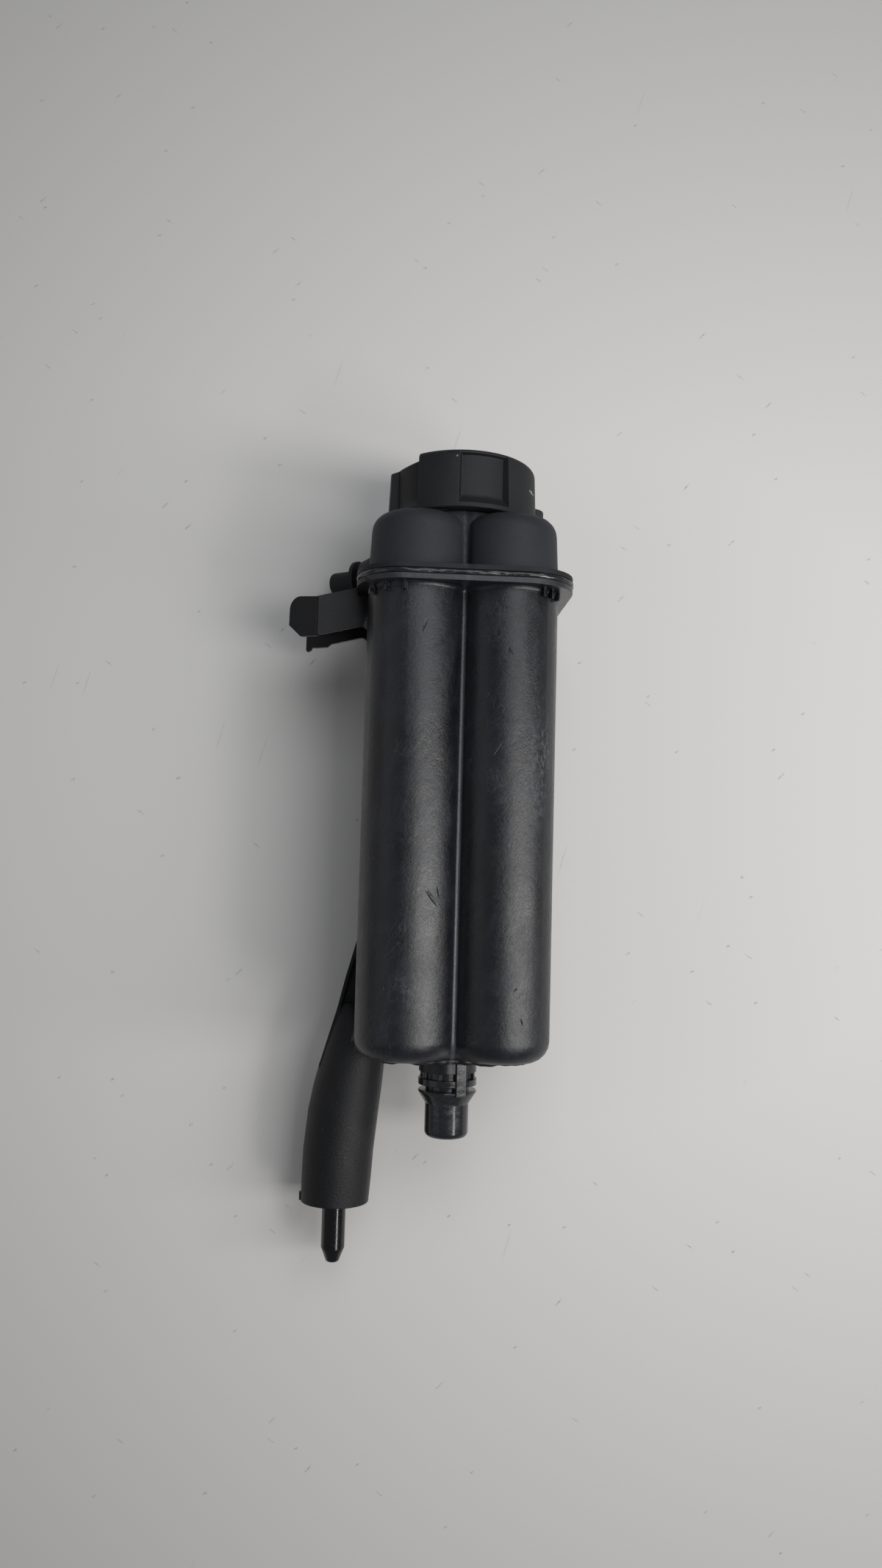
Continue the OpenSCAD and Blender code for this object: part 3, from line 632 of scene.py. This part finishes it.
def flash_rings():
    """Sections of the lip from left to right. It runs in from nothing at both ends."""
    rings = []
    count = int((flash_right - flash_left) / flash_step)
    for k in range(count + 1):
        x = flash_left + k * flash_step
        fade = min(1.0, (k + 1) / flash_run_in, (count - k + 1) / flash_run_in)
        edge = flash_root + (flash_edge - flash_root) * fade + flash_ragged * fade * ripple(x, 0.7)
        y = flash_y + flash_wander * ripple(x, 2.9)
        section = [(-flash_half, flash_root), (-flash_half, edge + flash_bevel), (0.0, edge),
                   (flash_half, edge + flash_bevel), (flash_half, flash_root)]
        rings.append([Vector((x, y + side, z)) for side, z in section])
    return rings


flash = loft("bottom_flash", flash_rings(), closed=False)
flash.data.materials.append(tank_plastic)
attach(flash, "tank")

# Upper shell: the domed top of the tank with its flange, return nipple, bleed boss and filler neck,
# moulded in the same plastic, with a fine eroded grain all over. The flange's plate and the nipple are
# darker than the dome. Down the dome's valley a dark line is painted as shade and a ragged pale one
# as highlight.
shell_dark = (0.0150, 0.0160, 0.0205)
shell_pale = (0.0232, 0.0247, 0.0305)
plate_colour = (0.0040, 0.0042, 0.0052)
# Dark line painted as shade and pale line painted as highlight down the dome's valley
dome_valley_painted_shade = (0.0020, 0.0022, 0.0030)
dome_valley_painted_highlight = (0.062, 0.065, 0.073)
plate_top = 0.2438
nipple_side = -0.0500


def grained(name, dark, pale, rough=0.62, depth=0.00010, marks=None):
    """Plastic from a spark-eroded mould. marks gives more layers of colour and more layers of depth."""
    material, tree = new_material(name)
    place = place_of(tree)
    pebble = noise(tree, place, 1900.0, 2.0)
    fine = noise(tree, place, 5200.0, 2.0)
    cloud = noise(tree, place, 40.0, 4.0, 0.6)
    speck = between(tree, noise(tree, place, 1000.0, 2.0), 0.77, 0.80)
    colours, depths = marks(tree, place) if marks else ([], [])
    colour = mix_colour(tree, between(tree, add_up(tree, pebble, cloud), 0.75, 1.25), dark, pale)
    colour = painted(tree, colour, (speck, 0.25, dust_colour), *colours)
    roughness = between(tree, cloud, 0.3, 0.7, rough - 0.06, rough + 0.06)
    normal = bump(tree, (cloud, 0.00025), (pebble, depth), (fine, 0.00001), *depths)
    plastic(tree, colour, roughness, normal, 0.35)
    return material


def shell_marks(tree, place):
    """The darker plate and nipple, and the dark line painted as shade and the pale one painted as
    highlight down the dome's valley.
    """
    parts = add(tree, "SeparateXYZ", Vector=place)
    plate = larger(tree, below(tree, parts.outputs["Z"], plate_top, 0.0002),
                   below(tree, parts.outputs["X"], nipple_side, 0.0004))
    # The dark line is painted shade, the ragged pale one painted highlight
    dark = valley_line(tree, place, 0.0015, 0.0020, 0.0003)
    pale = times(tree, valley_line(tree, place, -0.0008, 0.0010, 0.0010),
                 between(tree, noise(tree, place, 620.0, 4.0, 0.7), 0.45, 0.62))
    return [(plate, 0.75, plate_colour), (dark, 0.85, dome_valley_painted_shade), (pale, 0.5, dome_valley_painted_highlight)], []


shell_plastic = grained("upper_shell_plastic", shell_dark, shell_pale, marks=shell_marks)
finish_node("upper_shell", shell_plastic)

# Filler neck thread: one coarse ridge wound three times round the neck under the cap. It is moulded
# with the upper shell, and the cap rises along it as it is unscrewed.
neck_radius = 0.0266
thread_height = 0.0014
thread_least = 0.04
thread_lead = 0.004
thread_turns = 3
thread_start = 0.2790
thread_steps = 64
thread_run_in = 16
thread_sunk = 0.0004
# Half the ridge's width inside the neck's wall, at the wall and at the crest
thread_root_half = 0.0011
thread_base_half = 0.0009
thread_crest_half = 0.0003


def thread_rings():
    """Sections of the ridge along its helix. It runs in from a trace at both ends."""
    rings = []
    count = thread_turns * thread_steps
    for i in range(count + 1):
        turn = 2 * math.pi * i / thread_steps
        fade = min(1.0, i / thread_run_in, (count - i) / thread_run_in)
        lift = thread_height * max(thread_least, fade)
        z = thread_start + thread_lead * i / thread_steps
        out = Vector((math.cos(turn), math.sin(turn), 0))
        section = [(-thread_sunk, -thread_root_half), (0.0, -thread_base_half), (lift, -thread_crest_half),
                   (lift, thread_crest_half), (0.0, thread_base_half), (-thread_sunk, thread_root_half)]
        rings.append([out * (neck_radius + s) + Vector((0, 0, z + h)) for s, h in section])
    return rings


neck_thread = loft("neck_thread", thread_rings(), closed=False)
neck_thread.data.materials.append(shell_plastic)
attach(neck_thread, "tank")

# Level float, its magnet and the gauge rod: a light cream float with a dark sintered ring magnet
# pressed in, which works the switch in the pocket, and a slim rod of the same plastic that shows the
# level in the neck. They go in before the shells are welded.
float_dark = (0.52, 0.50, 0.43)
float_pale = (0.64, 0.62, 0.55)
magnet_dark = (0.05, 0.05, 0.052)
magnet_pale = (0.08, 0.08, 0.082)

for name in ("level_float", "indicator_rod"):
    finish_node(name, grained(name + "_plastic", float_dark, float_pale, rough=0.55, depth=0.00005))
finish_node("float_magnet", grained("magnet_sinter", magnet_dark, magnet_pale, rough=0.5, depth=0.00004))

# Weld: the two shells are welded plate to plate. The melt stands out between their edges as one
# wavy shiny roll all round the flange.
flange_left = 0.0493
flange_right = 0.0502
flange_depth = 0.0490
flange_corner = 0.0220
weld_middle = 0.24045
weld_step = 0.0006
melt_dark = (0.006, 0.006, 0.007)
melt_pale = (0.016, 0.0165, 0.019)
# The roll's section from its lower root, round its lower and its upper lip, to its upper root: how far
# each point stands out from the flange's edge, and how far up from the middle of the weld
melt_section = [(-0.00090, -0.00120), (-0.00010, -0.00118), (0.00012, -0.00078), (0.00028, -0.00022),
                (0.00032, 0.00024), (0.00016, 0.00074), (-0.00010, 0.00110), (-0.00090, 0.00112)]
melt_wave = 0.00022
crown_wave = 0.00020


def flange_path(step):
    """Places along the flange's edge, each with its outward direction and the way gone so far."""
    r = flange_corner
    sides = [((flange_right - r, flange_depth - r), 0), ((r - flange_left, flange_depth - r), 90),
             ((r - flange_left, r - flange_depth), 180), ((flange_right - r, r - flange_depth), 270)]
    places = []
    gone = 0.0
    for index, (centre, start) in enumerate(sides):
        count = int(r * math.pi / 2 / step)
        for k in range(count):
            turn = math.radians(start + 90 * k / count)
            out = Vector((math.cos(turn), math.sin(turn), 0))
            places.append((Vector((*centre, 0)) + out * r, out, gone))
            gone += step
        after = sides[(index + 1) % 4][0]
        turn = math.radians(start + 90)
        out = Vector((math.cos(turn), math.sin(turn), 0))
        first = Vector((*centre, 0)) + out * r
        last = Vector((*after, 0)) + out * r
        count = max(1, int((last - first).length / step))
        for k in range(count):
            places.append((first.lerp(last, k / count), out, gone))
            gone += step
    return places


def melt_ring(spot, out, gone):
    """The roll's section at one place, with its foot, its two lips and its crown each rippled."""
    foot = melt_wave * ripple(gone, 3.1)
    lower_lip = melt_wave * ripple(gone, 0.4)
    upper_lip = melt_wave * ripple(gone, 1.9)
    crown = crown_wave * ripple(gone, 5.3)
    waves = [(0, foot), (0, foot), (lower_lip, foot), (lower_lip, 0),
             (upper_lip, 0), (upper_lip, crown), (0, crown), (0, crown)]
    return [spot + out * (s + outward) + Vector((0, 0, weld_middle + h + upward))
            for (s, h), (outward, upward) in zip(melt_section, waves)]


def weld_melt():
    """Plastic that has melted and set again, dark and shiny."""
    material, tree = new_material("weld_melt")
    wave = noise(tree, place_of(tree), 420.0, 3.0, 0.6)
    colour = mix_colour(tree, between(tree, wave, 0.3, 0.7), melt_dark, melt_pale)
    plastic(tree, colour, between(tree, wave, 0.3, 0.7, 0.14, 0.30), bump(tree, (wave, 0.00012)), 0.60)
    return material


weld = loft("weld_bead", [melt_ring(*place) for place in flange_path(weld_step)])
weld.data.materials.append(weld_melt())
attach(weld, "tank")

# Neck guide: a plain moulded ring that snaps into the filler neck. It has an eye in which the gauge
# rod slides.
inner_dark = (0.020, 0.020, 0.022)
inner_pale = (0.030, 0.030, 0.032)

inner_plastic = grained("inner_plastic", inner_dark, inner_pale, rough=0.5, depth=0.00004)
finish_node("neck_guide", inner_plastic)

# Valve insert and spring cover: the moulded plug that hangs in the cap and seals in the neck, and the
# cover that closes the spring's housing. Both are smooth and black, of the same plastic as the guide.
for name in ("valve_insert", "spring_cover"):
    finish_node(name, inner_plastic)

# Relief plate and vacuum valve: small mouldings in grey plastic that shut the ways out of and into
# the tank. The plate lifts off its seat in the insert, and the valve drops off its seat in the plate.
valve_dark = (0.09, 0.09, 0.09)
valve_pale = (0.14, 0.14, 0.14)

for name in ("relief_plate", "vacuum_valve"):
    finish_node(name, grained(name + "_plastic", valve_dark, valve_pale, rough=0.45, depth=0.00003))

# Seals: moulded black rubber with a soft sheen. Two rings sit on the insert and one on the bleed
# screw, and the relief plate and the vacuum valve have a washer each.
rubber_dark = (0.008, 0.008, 0.008)
rubber_pale = (0.020, 0.020, 0.021)


def seal_rubber():
    """Black rubber with a faint bloom."""
    material, tree = new_material("seal_rubber")
    place = place_of(tree)
    bloom = noise(tree, place, 160.0, 3.0)
    colour = mix_colour(tree, between(tree, bloom, 0.35, 0.7), rubber_dark, rubber_pale)
    normal = bump(tree, (noise(tree, place, 2500.0), 0.00003))
    plastic(tree, colour, between(tree, bloom, 0.3, 0.7, 0.42, 0.6), normal)
    return material


rubber = seal_rubber()
for name in ("insert_seal_lower", "insert_seal_upper", "relief_seal", "vacuum_seal", "bleed_seal"):
    finish_node(name, rubber)

# Springs: round steel wire, bright from drawing and with fine die lines. A valve squeezes its spring
# as it opens. Each is wound here in the place of the plain coil and is fixed to one body.
wire_dark = (0.42, 0.42, 0.43)
wire_pale = (0.62, 0.62, 0.62)
coil_steps = 40
coil_turns = 6
wire_sides = 10


def spring_wire():
    """Bright drawn steel with fine lines."""
    material, tree = new_material("spring_wire")
    lines = noise(tree, place_of(tree), 1400.0, 2.0)
    shader = add(tree, "BsdfPrincipled", Metallic=1.0)
    tree.links.new(mix_colour(tree, lines, wire_dark, wire_pale), shader.inputs["Base Color"])
    tree.links.new(between(tree, lines, 0.3, 0.7, 0.22, 0.38), shader.inputs["Roughness"])
    tree.links.new(bump(tree, (lines, 0.00001)), shader.inputs["Normal"])
    output(tree, shader.outputs[0])
    return material


steel = spring_wire()


def coil_rings(mean_radius, wire_radius, low, high):
    """Sections of the wire, wound from low to high."""
    rings = []
    for i in range(coil_turns * coil_steps + 1):
        turn = 2 * math.pi * i / coil_steps
        out = Vector((math.cos(turn), math.sin(turn), 0))
        z = low + (high - low) * i / (coil_turns * coil_steps)
        ring = []
        for k in range(wire_sides):
            round_wire = 2 * math.pi * k / wire_sides
            ring.append(out * (mean_radius + wire_radius * math.cos(round_wire))
                        + Vector((0, 0, z + wire_radius * math.sin(round_wire))))
        rings.append(ring)
    return rings


def wound_spring(node, mean_radius, wire_radius, body):
    """Wire wound over the height of the node, fixed to the given body."""
    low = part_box(node)[0][2] + wire_radius
    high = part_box(node)[1][2] - wire_radius
    spring = loft(node + "_wire", coil_rings(mean_radius, wire_radius, low, high), closed=False)
    spring.data.materials.append(steel)
    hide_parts(node)
    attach(spring, body)
    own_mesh(spring)


wound_spring("relief_spring", mean_radius=0.0107, wire_radius=0.0008, body="insert")
wound_spring("vacuum_spring", mean_radius=0.0024, wire_radius=0.0003, body="relief")

# Cap: the moulded screw cap with finger recesses. It is the piece that hands and tools touch. Its
# corners, the hollow ones too, are painted pale as highlights, and its edge is chipped where the photograph
# shows it.
cap_dark = (0.0075, 0.0079, 0.0096)
cap_pale = (0.0120, 0.0126, 0.0146)
# Pale colour painted on the corners as their highlight
cap_painted_corner_highlight = (0.042, 0.044, 0.050)
chip_colour = (0.30, 0.30, 0.29)
# Chips, each with its middle and its radius
chips = [((0.0318, -0.0158, 0.2890), 0.0016), ((0.0308, -0.0176, 0.2891), 0.0009),
         ((0.0328, -0.0135, 0.2887), 0.0011), ((-0.0053, -0.0350, 0.2984), 0.0009)]
# How far from a corner the painted highlight reaches
corner_highlight_reach = 0.0007


def painted_corner_highlight(tree):
    """Mask of the painted corner highlight: 1 on a corner and 0 away from it, from how far the rounded
    normal turns from the true one.
    """
    rounded = add(tree, "Bevel", samples=6, Radius=corner_highlight_reach).outputs["Normal"]
    both = add(tree, "VectorMath", operation="DOT_PRODUCT")
    tree.links.new(rounded, both.inputs[0])
    tree.links.new(add(tree, "NewGeometry").outputs["Normal"], both.inputs[1])
    return between(tree, both.outputs["Value"], 0.86, 0.995, 1.0, 0.0)


def cap_marks(tree, place):
    """Corners painted pale as highlights, and ragged chips that are pale and sunk."""
    ragged = noise(tree, place, 1600.0, 3.0, 0.7)
    chipped = None
    for spot, size in chips:
        near = between(tree, distance(tree, place, spot), size * 0.3, size, 1.0, 0.0)
        mark = between(tree, times(tree, near, ragged), 0.22, 0.34)
        chipped = mark if chipped is None else larger(tree, chipped, mark)
    return ([(painted_corner_highlight(tree), 0.55, cap_painted_corner_highlight), (chipped, 1.0, chip_colour)],
            [(minus(tree, 1.0, chipped), 0.0003)])


finish_node("cap_grip", grained("cap_plastic", cap_dark, cap_pale, marks=cap_marks))

# Bleed screw: a small moulded screw in the boss beside the neck, a little greyer than the cap. It is
# undone to let air out as the tank is filled.
bleed_dark = (0.014, 0.0145, 0.017)
bleed_pale = (0.024, 0.025, 0.028)

finish_node("bleed_screw", grained("bleed_plastic", bleed_dark, bleed_pale))
